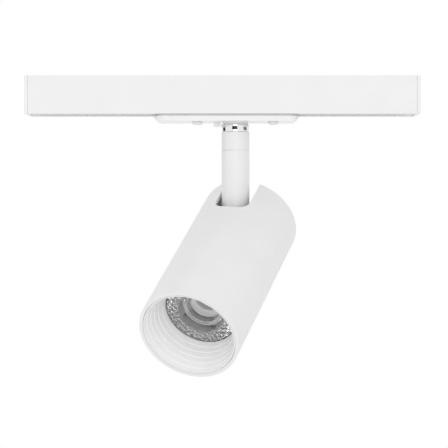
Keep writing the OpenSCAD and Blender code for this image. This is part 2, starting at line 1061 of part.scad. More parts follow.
module board_spacers() {
    color("gainsboro")
    at_head()
    for (x = [-1, 1], z = [board_back + board_inset, terminal_front - board_inset])
        translate([x * (tray_half - board_inset), board_top, z])
        rotate([-90, 0, 0])
        cylinder(d = spacer_d, h = board_drop);
}

module driver_board() {
    color("seagreen")
    at_head()
    translate([-board_half_w, board_bottom, board_back])
    cube([2 * board_half_w, board_t, board_l]);
}

module driver_transformer() {
    color("goldenrod")
    at_head()
    translate([-transformer_w / 2, board_bottom - transformer_h, board_back + transformer_back])
    cube([transformer_w, transformer_h, transformer_l]);
}

module driver_capacitors() {
    color("navy")
    at_head()
    for (x = [-1, 1])
        translate([x * capacitor_x, board_bottom, board_back + capacitor_back])
        rotate([90, 0, 0])
        cylinder(d = capacitor_d, h = capacitor_h);
}

module output_terminal() {
    color("green")
    at_head()
    translate([-out_block_w / 2, board_bottom - out_block_h, terminal_front - out_block_h])
    cube([out_block_w, out_block_h, out_block_h]);
}

module led_leads() {
    color("firebrick")
    at_head()
    for (side = [-1, 1])
        translate([side * led_lead_x, led_lead_y, terminal_front])
        cylinder(d = led_lead_d, h = sink_front - terminal_front);
}

module heat_sink() {
    count = floor(sink_r / fin_pitch);
    color("lightgray")
    at_head()
    difference() {
        union() {
            translate([0, 0, sink_front - sink_t])
            cylinder(r = sink_r, h = sink_t);
            intersection() {
                translate([0, 0, sink_back])
                cylinder(r = sink_r, h = fin_l + eps);
                for (i = [-count : count])
                    translate([i * fin_pitch - fin_t / 2, -head_r, sink_back])
                    cube([fin_t, head_d, fin_l + eps]);
            }
            for (a = ties)
                rotate([0, 0, a])
                translate([tie_r, 0, sink_back])
                cylinder(r = boss_r, h = fin_l + eps);
            for (side = [-1, 1])
                translate([side * bracket_screw_x, bracket_screw_y, sink_back])
                cylinder(r = boss_r, h = fin_l + eps);
        }
        for (a = ties)
            rotate([0, 0, a])
            translate([tie_r, 0, sink_back - eps])
            cylinder(d = screw_d + 2 * seat, h = tie_l - sink_back + hole_past_screw);
        for (side = [-1, 1]) {
            translate([side * bracket_screw_x, bracket_screw_y, sink_back - eps])
            cylinder(d = screw_d + 2 * seat, h = bracket_screw_l - bracket_t + hole_past_screw);
            translate([side * holder_screw_x, 0, sink_front - holder_screw_grip - hole_past_screw])
            cylinder(d = screw_d + 2 * seat, h = holder_screw_grip + hole_past_screw + eps);
        }
        translate([0, led_lead_y, sink_front - sink_t - eps])
        cylinder(r = led_lead_hole_r, h = sink_t + 2 * eps);
    }
}

module thermal_pad() {
    color("gray")
    at_head()
    translate([-led_side / 2, -led_side / 2, sink_front])
    cube([led_side, led_side, pad_t]);
}

module led_board() {
    color("white")
    at_head()
    translate([-led_side / 2, -led_side / 2, sink_front + pad_t])
    cube([led_side, led_side, led_board_t]);
}

module led_emitter() {
    color("gold")
    at_head()
    translate([0, 0, sink_front + pad_t + led_board_t])
    cylinder(d = led_d, h = emitter_t);
}

module led_holder() {
    pocket = led_side + 2 * fit;
    pocket_h = pad_t + led_board_t;
    color("white")
    at_head()
    translate([0, 0, sink_front])
    difference() {
        cylinder(r = holder_r, h = holder_h);
        translate([-pocket / 2, -pocket / 2, -eps])
        cube([pocket, pocket, pocket_h + eps]);
        cylinder(d = holder_window, h = holder_h + eps);
        for (side = [-1, 1])
            translate([side * holder_screw_x, 0, -eps])
            cylinder(d = screw_d + 2 * seat, h = holder_h + 2 * eps);
    }
}

module holder_screws() {
    color("silver")
    at_head()
    for (side = [-1, 1])
        translate([side * holder_screw_x, 0, sink_front + holder_h])
        mirror([0, 0, 1])
        machine_screw(holder_h + holder_screw_grip);
}

module lens() {
    foot_r = lens_hollow_r + lens_foot;
    top_r = lens_r - lens_rim;
    cone_top = lens_h - lens_flange_t;
    cone = [for (i = [0 : lens_steps])
        [foot_r + (top_r - foot_r) * pow(i / lens_steps, lens_curve), cone_top * i / lens_steps]];
    color("lightcyan")
    at_head()
    translate([0, 0, lens_back])
    rotate_extrude()
    polygon(concat(
        [[lens_hollow_r, 0]],
        cone,
        [
            [lens_flange_r, cone_top],
            [lens_flange_r, lens_h],
            [lens_bowl_r, lens_h],
            [lens_floor_r, lens_h - lens_bowl_h],
            [0, lens_h - lens_bowl_h],
            [0, lens_hollow_h],
            [lens_hollow_r, lens_hollow_h - lens_dome]
        ]
    ));
}

module lens_cup() {
    cup_h = lens_front - sink_front;
    ledge_top = cup_h - lens_flange_t;
    color("white")
    at_head()
    translate([0, 0, sink_front])
    rotate_extrude()
    polygon([
        [cup_r - cup_wall, 0],
        [cup_r, 0],
        [cup_r, cup_h],
        [lens_flange_r + seat, cup_h],
        [lens_flange_r + seat, ledge_top],
        [cup_ledge_r, ledge_top],
        [cup_ledge_r, ledge_top - cup_ledge_t],
        [cup_r - cup_wall, ledge_top - 2 * cup_ledge_t]
    ]);
}

function ledge_r(k) = lens_r + k * ledge_step;
function ledge_out(k) = min(rim_r, ledge_r(k) + ledge_step + baffle_wall);

module baffle() {
    inner = [for (k = [0 : ledge_rings - 1], end = [0, 1])
        [ledge_r(k), (k + end) * ledge_pitch]];
    outer = [for (k = [ledge_rings - 1 : -1 : 0], end = [1, 0])
        [ledge_out(k), (k + end) * ledge_pitch - (k + end == ledge_rings ? 0 : baffle_wall)]];
    color("white")
    at_head()
    translate([0, 0, lens_front]) {
        rotate_extrude()
        polygon(concat(inner, [for (p = outer) [p[0], max(p[1], 0)]]));
        tube(cup_r, ledge_r(0) + eps, baffle_foot_t);
    }
}

track_profile();
front_insulator();
rear_insulator();
live_conductor();
neutral_conductor();
left_end_cap();
right_end_cap();
adapter_plate();
adapter_housing();
housing_lid();
earth_spring();
plate_screw();
contact_terminals();
feed_bars();
swivel_bolt();
swivel_nut();
thrust_washer();
friction_washer();
left_lock_knob();
left_lock_cam();
left_contact_arm();
right_lock_knob();
right_lock_cam();
right_contact_arm();
bright_ring();
stop_pin();
upper_collar();
stem_tube();
stem_cable();
hinge_screws();
head_shell();
rear_plate();
tie_screws();
hinge_bracket();
hinge_washers();
cable_grommet();
head_cable();
board_spacers();
driver_board();
driver_transformer();
driver_capacitors();
output_terminal();
led_leads();
heat_sink();
bracket_screws();
thermal_pad();
led_board();
led_emitter();
led_holder();
holder_screws();
lens();
lens_cup();
baffle();
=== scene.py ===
# %% [markdown]
# # A track spotlight
# This lesson dresses the solids of a small spotlight that hangs from a short lighting track.
# The solids come from CAD, so they already have the right sizes and they already move.
# Blender's job is the looks: soft edges, surface texture, a real lens, light and a camera.
# Every step has a text cell that explains the real thing, and then short code cells that make it.

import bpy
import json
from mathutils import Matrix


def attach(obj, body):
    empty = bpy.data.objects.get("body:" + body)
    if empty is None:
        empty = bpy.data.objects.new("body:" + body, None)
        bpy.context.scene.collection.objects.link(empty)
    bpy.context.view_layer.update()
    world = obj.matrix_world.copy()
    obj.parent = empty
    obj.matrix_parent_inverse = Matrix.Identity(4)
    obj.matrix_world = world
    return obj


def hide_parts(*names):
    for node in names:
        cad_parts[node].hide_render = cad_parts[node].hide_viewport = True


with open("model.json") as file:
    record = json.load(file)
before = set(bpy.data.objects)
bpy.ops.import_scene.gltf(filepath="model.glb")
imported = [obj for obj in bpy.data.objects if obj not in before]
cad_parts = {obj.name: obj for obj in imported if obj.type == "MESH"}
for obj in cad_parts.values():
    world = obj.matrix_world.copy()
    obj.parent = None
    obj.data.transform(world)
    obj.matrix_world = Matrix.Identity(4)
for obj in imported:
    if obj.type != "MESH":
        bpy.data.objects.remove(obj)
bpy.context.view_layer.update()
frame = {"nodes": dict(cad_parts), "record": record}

# %% The other tools of this lesson
import json
import math
import random

import bmesh
import bpy
from mathutils import Matrix, Vector, kdtree

mm = 0.001
print("Blender", bpy.app.version_string, "measures in metres, and a millimetre is", mm)

# %% [markdown]
# ## Where things sit
# The track lies along X and its top is at height zero. The stem hangs under it and is turned
# a little, and the head leans out from the stem. It is easiest to model each piece upright, on
# the Z axis, and to carry it to its place with one matrix. So the stem and the head each get
# a matrix, built from the same sizes and angles as the solids. The hinge doesn't lie on the
# head's axis: it sits to one side, so that the stem can swing out through a slot.

# %% Matrices for the adapter, the stem and the head
stem_x = 7.9
hinge_height = -86.9
hinge_aside, hinge_from_rear = 13.5, 19.6
head_length = 117.1
turned_by = math.radians(21.6)
leans_by = math.radians(56.3)

upright = Matrix.Identity(4)
at_adapter = Matrix.Translation(Vector((stem_x, 0, 0)) * mm)
at_stem = at_adapter @ Matrix.Rotation(-turned_by, 4, "Z")
at_hinge = at_stem @ Matrix.Translation((0, 0, hinge_height * mm))
at_head = (at_hinge @ Matrix.Rotation(math.pi - leans_by, 4, "X")
           @ Matrix.Translation(Vector((0, -hinge_aside, -hinge_from_rear)) * mm))
print("front of the head:", [round(v, 4) for v in at_head @ Vector((0, 0, head_length * mm))])

# %% [markdown]
# ## Three ways to make a piece
# Most pieces of a lamp are turned on a lathe, cut from a bar or extruded through a die.
# The helpers below follow the workshop. `turned` spins an outline round the Z axis.
# `sawn` pushes an outline straight up, as a bar is sawn to length. `carved` takes one shape out
# of another, as a mill does, or welds them with UNION. An outline is a list of points in
# millimetres: (radius, height) for the lathe, and (x, y) for the saw.

# %% From loose faces to a piece
def new_piece(name, b, place):
    bmesh.ops.remove_doubles(b, verts=b.verts, dist=1e-7)
    bmesh.ops.recalc_face_normals(b, faces=b.faces)
    mesh = bpy.data.meshes.new(name)
    b.to_mesh(mesh)
    b.free()
    piece = bpy.data.objects.new(name, mesh)
    bpy.context.scene.collection.objects.link(piece)
    piece.data.transform(place)
    return piece


print("new_piece joins doubled points, turns the faces outward and carries the piece to its place")

# %% The lathe
def turned(name, outline, place, steps=144):
    b = bmesh.new()
    turn = [2 * math.pi * k / steps for k in range(steps)]
    rings = []
    for radius, height in outline:
        if radius:
            rings.append([b.verts.new((radius * mm * math.cos(a), radius * mm * math.sin(a),
                                       height * mm)) for a in turn])
        else:
            rings.append([b.verts.new((0, 0, height * mm))] * steps)
    for i, low in enumerate(rings):
        high = rings[(i + 1) % len(rings)]
        for k in range(steps):
            corners = dict.fromkeys((low[k], low[(k + 1) % steps], high[(k + 1) % steps], high[k]))
            if len(corners) > 2:
                b.faces.new(list(corners))
    return new_piece(name, b, place)


def rod(radius, low, high, place, steps=64):
    return turned("rod", [(0, low), (radius, low), (radius, high), (0, high)], place, steps)


print("lathe: turned, and rod for a plain round bar")

# %% The saw
def sawn(name, outline, low, high, place):
    b = bmesh.new()
    bottom = [b.verts.new((x * mm, y * mm, low * mm)) for x, y in outline]
    top = [b.verts.new((x * mm, y * mm, high * mm)) for x, y in outline]
    b.faces.new(bottom)
    b.faces.new(top)
    for i in range(len(bottom)):
        k = (i + 1) % len(bottom)
        b.faces.new((bottom[i], bottom[k], top[k], top[i]))
    return new_piece(name, b, place)


def block(low, high, place):
    outline = [(low[0], low[1]), (high[0], low[1]), (high[0], high[1]), (low[0], high[1])]
    return sawn("block", outline, low[2], high[2], place)


print("saw: sawn, and block for a plain square bar")

# %% The mill
def settled(piece):
    """Apply the piece's modifiers to its mesh."""
    bpy.context.view_layer.update()
    shape = piece.evaluated_get(bpy.context.evaluated_depsgraph_get())
    mesh = bpy.data.meshes.new_from_object(shape)
    piece.modifiers.clear()
    piece.data = mesh
    return piece


def carved(piece, *cutters, how="DIFFERENCE"):
    for cutter in cutters:
        step = piece.modifiers.new("carve", "BOOLEAN")
        step.operation = how
        step.solver = "EXACT"
        step.object = cutter
    settled(piece)
    for cutter in cutters:
        bpy.data.objects.remove(cutter)
    return piece


print("mill: carved, which uses up its cutters")

# %% [markdown]
# ## Edges that catch the light
# No made thing has a perfectly sharp edge. A narrow rounded edge catches a thin line of light,
# and that line is what tells the eye where one piece ends. A Bevel modifier rounds only the
# edges that are sharper than 30 degrees, and Weighted Normal keeps the flat faces looking flat.
# The same helper hangs the piece under an empty named for the body it moves with, hides the solids
# it stands for and gives it its material.

# %% Round the edges and hand the piece to its body
usual_edge = 0.2
rounded_above, kept_sharp_above = math.radians(30), math.radians(35)


def finished(piece, body, finish, nodes, edge=usual_edge, rounds=2):
    if edge:
        soft = piece.modifiers.new("soft edges", "BEVEL")
        soft.width = edge * mm
        soft.segments = rounds
        soft.limit_method = "ANGLE"
        soft.angle_limit = rounded_above
        soft.use_clamp_overlap = True
        settled(piece)
    piece.data.shade_smooth()
    piece.data.set_sharp_from_angle(angle=kept_sharp_above)
    flat = piece.modifiers.new("even shading", "WEIGHTED_NORMAL")
    flat.keep_sharp = True
    piece.data.materials.clear()
    piece.data.materials.append(finish)
    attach(piece, body)
    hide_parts(*nodes)
    print(f"{piece.name}: {len(piece.data.vertices)} points, rides on {body}")
    return piece


print("edges are rounded by", usual_edge, "mm unless a piece says otherwise")

# %% [markdown]
# ## A surface is never one flat colour
# Paint, plastic and metal all vary a little: the colour drifts, some places are glossier, and
# close up there is a grain. All of that can come from two noise patterns, one coarse and one
# fine, so it needs no image. `surface` makes such a material. Values that are the same all over,
# such as how metallic it is, go straight onto the shader. The patterns use object coordinates,
# so their scale is in real size and the grain stays with a piece when it moves.

# %% One noise pattern
def noise(material, name, scale, detail, size):
    pattern = material.node_tree.nodes.new("ShaderNodeTexNoise")
    pattern.name = name
    pattern.inputs["Scale"].default_value = scale
    pattern.inputs["Detail"].default_value = detail
    material.node_tree.links.new(size.outputs["Vector"], pattern.inputs["Vector"])
    return pattern.outputs["Fac"]


print("noise: a named pattern, ready to be joined to a shader")

# %% Make a surface from two patterns
def surface(name, dark, light, rough, grain, depth, stretch=(1, 1, 1), cloud=60, **fixed):
    """Rough is a pair of values, grain and cloud are pattern scales, depth is in millimetres."""
    made = bpy.data.materials.new(name)
    made.use_nodes = True
    nodes, join = made.node_tree.nodes, made.node_tree.links.new
    shader = nodes["Principled BSDF"]
    for socket, value in fixed.items():
        shader.inputs[socket.replace("_", " ")].default_value = value
    place = nodes.new("ShaderNodeTexCoord")
    size = nodes.new("ShaderNodeMapping")
    size.inputs["Scale"].default_value = stretch
    join(place.outputs["Object"], size.inputs["Vector"])

    drift = noise(made, "coarse pattern", cloud, 3, size)
    colour = nodes.new("ShaderNodeValToRGB")
    colour.name = "colour"
    for stop, position, shade in zip(colour.color_ramp.elements, (0.3, 0.7), (dark, light)):
        stop.position = position
        stop.color = (*shade, 1)
    join(drift, colour.inputs["Fac"])
    join(colour.outputs["Color"], shader.inputs["Base Color"])
    gloss = nodes.new("ShaderNodeMapRange")
    gloss.inputs["To Min"].default_value, gloss.inputs["To Max"].default_value = rough
    join(drift, gloss.inputs["Value"])
    join(gloss.outputs["Result"], shader.inputs["Roughness"])

    bump = nodes.new("ShaderNodeBump")
    bump.name = "grain"
    bump.inputs["Distance"].default_value = depth * mm
    bump.inputs["Strength"].default_value = 1
    join(noise(made, "fine pattern", grain, 2, size), bump.inputs["Height"])
    join(bump.outputs["Normal"], shader.inputs["Normal"])
    return made


def grey(value):
    return (value, value, value)


print("surface: a coarse pattern for colour and gloss, a fine one for grain")

# %% [markdown]
# ## White paint and white plastic
# The head, the stem and the track are powder coated. The powder melts into a satin skin that
# stays slightly wavy, which painters call orange peel, with a wave about a millimetre long.
# The adapter's plate and the knobs are moulded in a sparked steel mould, which leaves a finer and
# duller grain. The baffle inside the head is duller still, so that it doesn't glare.
# The holder round the light source sits behind the whole lens. A renderer stops following light
# after a few bounces, so hardly any would reach it there. Its white gets a very faint painted
# glow, which stands in for the light that is lost.

# %% Painted and moulded whites
powder_coat = surface("powder coat", grey(0.845), grey(0.865), (0.34, 0.42), 900, 0.004,
                      Specular_IOR_Level=0.4)
moulded_white = surface("moulded white", grey(0.85), grey(0.87), (0.2, 0.26), 3500, 0.002,
                        Specular_IOR_Level=0.5)
# Painted glow: the holder's white emits a little light that stands in for the light lost behind
# the lens.
holder_white_painted_glow = surface("holder white with painted glow", grey(0.85), grey(0.87), (0.3, 0.36), 3500, 0.002,
                       Emission_Color=(1, 1, 1, 1), Emission_Strength=0.17)
baffle_white = surface("dull white", grey(0.945), grey(0.957), (0.62, 0.7), 2600, 0.006,
                       Specular_IOR_Level=0.25)
# Painted light: the knobs' white is the moulded white made lighter, to lift the shade they sit in
# under the plate.
knob_white_painted_lighter = surface("knob white, painted lighter", grey(0.9), grey(0.92), (0.25, 0.32), 3500, 0.002,
                     Specular_IOR_Level=0.5)
ivory = surface("ivory plastic", (0.74, 0.72, 0.63), (0.78, 0.76, 0.68), (0.5, 0.6), 3000, 0.006)
whites = (powder_coat, moulded_white, holder_white_painted_glow, baffle_white, knob_white_painted_lighter, ivory)
print("whites:", ", ".join(made.name for made in whites))

# %% [markdown]
# ## Metals
# Zinc plated steel has a cloudy look, with patches that are a little bluer and duller. Copper
# and bronze strip is rolled, so its marks run along the strip: the same pattern is stretched in
# one direction. The swivel's ring is polished and chromed, so nearly all that it shows is a
# reflection, and its pattern only breaks the reflection up very slightly.

# %% Steel, chrome, aluminium, copper
zinc = surface("zinc plated steel", (0.5, 0.52, 0.55), (0.63, 0.64, 0.66), (0.24, 0.42),
               1500, 0.003, cloud=300, Metallic=1.0)
chrome = surface("chrome", grey(0.8), grey(0.84), (0.05, 0.09),
                 400, 0.0015, (1, 1, 6), Metallic=1.0)
aluminium = surface("bare aluminium", grey(0.66), grey(0.74), (0.34, 0.46),
                    700, 0.004, (1, 1, 9), Metallic=1.0)
copper = surface("rolled copper", (0.72, 0.38, 0.24), (0.82, 0.47, 0.32), (0.26, 0.4),
                 1200, 0.003, (0.05, 1, 1), Metallic=1.0)
bronze = surface("spring bronze", (0.66, 0.47, 0.22), (0.75, 0.57, 0.31), (0.25, 0.38),
                 1200, 0.003, (0.05, 1, 1), Metallic=1.0)
metals = (zinc, chrome, aluminium, copper, bronze)
print("metals:", ", ".join(made.name for made in metals))

# %% [markdown]
# ## Rubber, nylon and the parts inside
# Nobody sees the driver while the lamp is whole, but a reader who opens the model should find
# real finishes there too: black nylon washers, a soft cable sheath, sleeves on the leads and the
# capacitors, tape round the transformer, and a grey pad that carries heat to the fins.

# %% Soft and inner finishes
black_nylon = surface("black nylon", grey(0.012), grey(0.02), (0.42, 0.52), 2500, 0.006)
black_rubber = surface("black rubber", grey(0.015), grey(0.025), (0.7, 0.8), 1800, 0.01)
grey_pad = surface("grey pad", grey(0.22), grey(0.27), (0.75, 0.85), 2200, 0.015)
cable_sheath = surface("cable sheath", grey(0.66), grey(0.7), (0.5, 0.6), 1400, 0.008,
                       (1, 1, 0.3))
red_sleeve = surface("lead sleeve", (0.33, 0.02, 0.012), (0.4, 0.035, 0.02), (0.4, 0.5),
                     1400, 0.005)
yellow_tape = surface("winding tape", (0.6, 0.38, 0.02), (0.7, 0.47, 0.04), (0.2, 0.32),
                      350, 0.02, (0.1, 1, 4))
blue_sleeve = surface("capacitor sleeve", (0.006, 0.01, 0.035), (0.01, 0.016, 0.05),
                      (0.25, 0.35), 900, 0.006)
green_block = surface("terminal plastic", (0.01, 0.12, 0.03), (0.015, 0.16, 0.045), (0.4, 0.5),
                      2600, 0.006)
ceramic = surface("white ceramic", grey(0.86), grey(0.9), (0.5, 0.62), 3200, 0.006)
inner_finishes = (black_nylon, black_rubber, grey_pad, cable_sheath, red_sleeve, yellow_tape,
                  blue_sleeve, green_block, ceramic)
print("inner finishes:", ", ".join(made.name for made in inner_finishes))

# %% [markdown]
# ## A circuit board and a light source
# A circuit board's green lacquer covers copper tracks, which show as paler lines. A Voronoi
# pattern can tell how far each point is from the nearest border between cells, and a narrow
# range of that distance draws thin lines. The light source is a disc of pale yellow gel over
# rows of tiny chips, and the chips show through it as darker dots: a Voronoi pattern with no
# randomness makes the rows.

# %% Draw tracks and chips over a surface
def with_lines(made, pattern, colour, fades_between):
    nodes, join = made.node_tree.nodes, made.node_tree.links.new
    mixer = nodes.new("ShaderNodeMix")
    mixer.data_type = "RGBA"
    mixer.inputs["B"].default_value = (*colour, 1)
    sharp = nodes.new("ShaderNodeMapRange")
    sharp.inputs["From Min"].default_value, sharp.inputs["From Max"].default_value = fades_between
    join(pattern, sharp.inputs["Value"])
    join(sharp.outputs["Result"], mixer.inputs["Factor"])
    join(nodes["colour"].outputs["Color"], mixer.inputs["A"])
    join(mixer.outputs["Result"], nodes["Principled BSDF"].inputs["Base Color"])
    return made


board_green = surface("circuit board", (0.008, 0.075, 0.025), (0.012, 0.1, 0.035), (0.28, 0.4),
                      900, 0.004)
tracks = board_green.node_tree.nodes.new("ShaderNodeTexVoronoi")
tracks.feature = "DISTANCE_TO_EDGE"
tracks.inputs["Scale"].default_value = 320
tracks.inputs["Randomness"].default_value = 0.35
with_lines(board_green, tracks.outputs["Distance"], (0.03, 0.2, 0.07), (0.1, 0.06))

phosphor = surface("light source gel", (0.84, 0.8, 0.6), (0.88, 0.84, 0.66), (0.3, 0.4),
                   700, 0.01)
chips = phosphor.node_tree.nodes.new("ShaderNodeTexVoronoi")
chips.inputs["Scale"].default_value = 800
chips.inputs["Randomness"].default_value = 0.0
with_lines(phosphor, chips.outputs["Distance"], (0.74, 0.66, 0.42), (0.35, 0.25))
print("patterned:", board_green.name, "and", phosphor.name)

# %% [markdown]
# ## Clear plastic for the lens
# The lens is moulded from clear acrylic, which bends light less than glass does: its index is
# 1.49. Real clarity comes from geometry and refraction, so the shader only needs full
# transmission and that index. A very shallow wave in the skin keeps it from looking
# computer perfect. The front's pillows are a little frosted. The lens is one piece of plastic, so
# it keeps one material: its points carry a value named "frosted", 0 or 1, and where it is 1
# some roughness is added.

# %% Clear acrylic
acrylic_index, frost_roughness = 1.49, 0.12
clear_acrylic = surface("clear acrylic", grey(0.975), grey(0.99), (0.0, 0.02), 160, 0.004,
                        IOR=acrylic_index, Transmission_Weight=1.0)
nodes, join = clear_acrylic.node_tree.nodes, clear_acrylic.node_tree.links.new
roughness = nodes["Principled BSDF"].inputs["Roughness"]
where_frosted = nodes.new("ShaderNodeAttribute")
where_frosted.attribute_name = "frosted"
frost = nodes.new("ShaderNodeMath")
frost.operation = "MULTIPLY_ADD"
frost.inputs[1].default_value = frost_roughness
join(where_frosted.outputs["Fac"], frost.inputs[0])
join(roughness.links[0].from_socket, frost.inputs[2])
join(frost.outputs["Value"], roughness)
print("lens:", clear_acrylic.name, "with index", acrylic_index)

# %% [markdown]
# ## The track
# The track is one aluminium extrusion: a channel with two lips that leave a mouth along its
# underside. An extrusion is the easiest thing to model: draw its section once, and push it
# along. Here the section lies in Y and Z, so the sawn bar is turned to lie along X. Two screw
# holes go through the roof, and the edges are rounded by a quarter of a millimetre, as paint
# leaves them.

# %% Extrude the channel and drill its roof
along_x = Matrix(((0, 0, 1, 0), (1, 0, 0, 0), (0, 1, 0, 0), (0, 0, 0, 1)))
track_half_length, track_half_width = 116.5, 17.5
wall_inside, roof_inside = 15.9, -1.6
mouth_half_width, lip_top, underside = 9.0, -20.8, -22.85
roof_hole, roof_hole_places, drill_low, drill_high = 2.25, (-75, 75), -4, 1

right_half = [(track_half_width, 0), (track_half_width, underside), (mouth_half_width, underside),
              (mouth_half_width, lip_top), (wall_inside, lip_top), (wall_inside, roof_inside)]
section = right_half + [(-y, z) for y, z in right_half[::-1]]
channel = sawn("track_channel", section, -track_half_length, track_half_length, along_x)
holes = [rod(roof_hole, drill_low, drill_high, Matrix.Translation((x * mm, 0, 0)))
         for x in roof_hole_places]
carved(channel, *holes)
finished(channel, "track", powder_coat, ["track_profile"], 0.25)

# %% [markdown]
# ## End caps
# A moulded cap closes each end. It is a plate as big as the section, with a tongue that pushes
# into the channel between the two conductor carriers. Its joint with the track shows as a
# hairline, because both edges are rounded.

# %% Mould the two caps
cap_end, tongue_root, tongue_tip = 118.5, 116.6, 110.5
tongue_half_width, tongue_play = 12, 0.3
for side, node in ((-1, "left_end_cap"), (1, "right_end_cap")):
    left, right = sorted((side * cap_end, side * track_half_length))
    cap = block((left, -track_half_width, underside), (right, track_half_width, 0), upright)
    left, right = sorted((side * tongue_root, side * tongue_tip))
    tongue = block((left, -tongue_half_width, lip_top + tongue_play),
                   (right, tongue_half_width, roof_inside - tongue_play), upright)
    cap.name = node.replace("end_cap", "cap")
    carved(cap, tongue, how="UNION")
    finished(cap, "track", moulded_white, [node], 0.3)

# %% [markdown]
# ## The adapter's cover plate
# Under the mouth sits a flat plate with rounded corners and slanted ends. The shape is a
# side view cut by a plan view, as a maker would saw a slanted bar to an outline. On its back a
# raised pad goes up to the track's lips, hollowed in the middle where the housing stands. Two
# small things hang under it: a round boss for the swivel, and the stop block that keeps the lamp
# from turning round and round and twisting its cable.

# %% Draw a plan with round corners
def rounded_plan(left, right, half_width, radius, steps=10):
    plan = []
    x_right, x_left, y = right - radius, left + radius, half_width - radius
    for cx, cy, start in ((x_right, y, 0), (x_left, y, 90), (x_left, -y, 180), (x_right, -y, 270)):
        for k in range(steps + 1):
            a = math.radians(start + 90 * k / steps)
            plan.append((cx + radius * math.cos(a), cy + radius * math.sin(a)))
    return plan


print("a rounded plan has", len(rounded_plan(-10, 10, 5, 1)), "points")

# %% Saw the plate
plate_left, plate_right, plate_half_width, plate_corner = -49, 38, 16.5, 6
plate_top, plate_bottom = -24.1, -27.0
slant, slant_height = 2.4, 2
slanted = [(plate_left, plate_top), (plate_right, plate_top),
           (plate_right, plate_bottom + slant_height), (plate_right - slant, plate_bottom),
           (plate_left + slant, plate_bottom), (plate_left, plate_bottom + slant_height)]
on_edge = at_adapter @ Matrix.Rotation(math.pi / 2, 4, "X")
cover = sawn("adapter_cover", slanted, -plate_half_width, plate_half_width, on_edge)
plan = rounded_plan(plate_left, plate_right, plate_half_width, plate_corner)
carved(cover, sawn("plan", plan, plate_bottom - 1, plate_top + 1.1, at_adapter), how="INTERSECT")
print("plate:", plate_right - plate_left, "mm long and", 2 * plate_half_width, "mm wide")

# %% Add the stop, the boss and the pad, and bore the plate
sunk, pad_overlap = 0.5, 0.1
stop_left, stop_right, stop_half_width, stop_height = -13.3, -8.9, 1.5, 3
boss_radius, boss_height = 7.6, 1.35
pad_height, pad_inset, pad_side_inset, pad_corner = 1.15, 1.4, 1.9, 4.5
hollow_inset, hollow_half_width = 1.78, 8.52
knob_places, plate_screw_place = (-23, 23), -41
bolt_bore, knob_bore, screw_bore, screw_floor = 4.02, 2.55, 1.52, 0.9
drill_low, drill_high = -29, -22

stop_block = block((stop_left, -stop_half_width, plate_bottom - stop_height),
                   (stop_right, stop_half_width, plate_bottom + sunk), at_adapter)
boss = rod(boss_radius, plate_bottom - boss_height, plate_bottom + sunk, at_adapter, 96)
carved(cover, stop_block, boss, how="UNION")

pad_plan = rounded_plan(plate_left + pad_inset, plate_right - pad_inset,
                        plate_half_width - pad_side_inset, pad_corner)
pad = sawn("pad", pad_plan, plate_top - pad_overlap, plate_top + pad_height, at_adapter)
carved(pad, block((plate_left + hollow_inset, -hollow_half_width, plate_top),
                  (plate_right - hollow_inset, hollow_half_width, plate_top + 2), at_adapter))
carved(cover, pad, how="UNION")

bores = [rod(bolt_bore, drill_low, drill_high, at_adapter)]
bores += [rod(knob_bore, drill_low, drill_high, at_adapter @ Matrix.Translation((x * mm, 0, 0)))
          for x in knob_places]
bores.append(rod(screw_bore, plate_bottom + screw_floor, drill_high,
                 at_adapter @ Matrix.Translation((plate_screw_place * mm, 0, 0))))
carved(cover, *bores)
finished(cover, "adapter", moulded_white, ["adapter_plate"], 0.25)

# %% [markdown]
# ## The two locking knobs
# A quarter turn of each knob swings a cam over the lips of the channel and a contact onto its
# copper bar. A knob is a low turned dome on a long spindle, with a slot across it for a coin or
# a screwdriver.

# %% Turn the knobs and cut their slots
slot_half_width, slot_half_length, slot_ceiling = 0.5, 5, -28
knob_outline = [(0, -28.8), (1.6, -28.75), (2.5, -28.5), (3.1, -28.0), (3.3, -27.4), (3.3, -27.1),
                (2.5, -27.1), (2.5, -4.9), (1.5, -4.9), (1.5, -3.7), (0, -3.7)]
locks = (("left_lock_knob", "left_lock"), ("right_lock_knob", "right_lock"))
for x, (node, body) in zip(knob_places, locks):
    here = at_adapter @ Matrix.Translation((x * mm, 0, 0))
    knob = turned(node.replace("lock_knob", "turning_knob"), knob_outline, here, 72)
    carved(knob, block((-slot_half_length, -slot_half_width, slot_ceiling - 2),
                       (slot_half_length, slot_half_width, slot_ceiling), here))
    finished(knob, body, knob_white_painted_lighter, [node], 0.18)

# %% [markdown]
# ## The swivel: ring, pin and collar
# Right under the plate is a polished ring. It turns with the lamp, and it is the only mirror on
# the whole object. A straight cylinder would mirror one thin slice of the room. This ring is
# very slightly barrel-shaped, by about a tenth of a millimetre, so it mirrors a taller part of
# the room and the dark flags in it look like short patches. A steel pin sticks out at the back and
# meets the stop block. The painted collar under the ring is a plain tube.

# %% Turn the ring and its pin
stem_radius, spigot_radius = 8.45, 6.58
ring_top, ring_seat, ring_foot, ring_bore = -28.5, -33.15, -35.15, 4.05
band_low, band_height, bulge = -32.9, 4.3, 0.13
barrel = [(stem_radius - bulge * (k / 8 - 1) ** 2, band_low + band_height * k / 16)
          for k in range(17)]
ring_outline = [(ring_bore, ring_foot), (spigot_radius, ring_foot), (spigot_radius, ring_seat),
                (8.0, ring_seat)] + barrel + [(8.1, ring_top), (ring_bore, ring_top)]
ring = turned("swivel_ring", ring_outline, at_stem)

pin_height, pin_radius, pin_root, pin_end, pin_play = -29.6, 0.75, 5.5, 11.2, 0.02
pin_at = (at_stem @ Matrix.Translation((0, 0, pin_height * mm))
          @ Matrix.Rotation(-math.pi / 2, 4, "X"))
carved(ring, rod(pin_radius + pin_play, pin_root, 12, pin_at, 32))
finished(ring, "stem", chrome, ["bright_ring"], 0.1, 3)
pin = turned("swivel_stop_pin", [(0, pin_root), (pin_radius, pin_root), (pin_radius, pin_end),
                                 (0, pin_end)], pin_at, 32)
finished(pin, "stem", zinc, ["stop_pin"], 0.15)

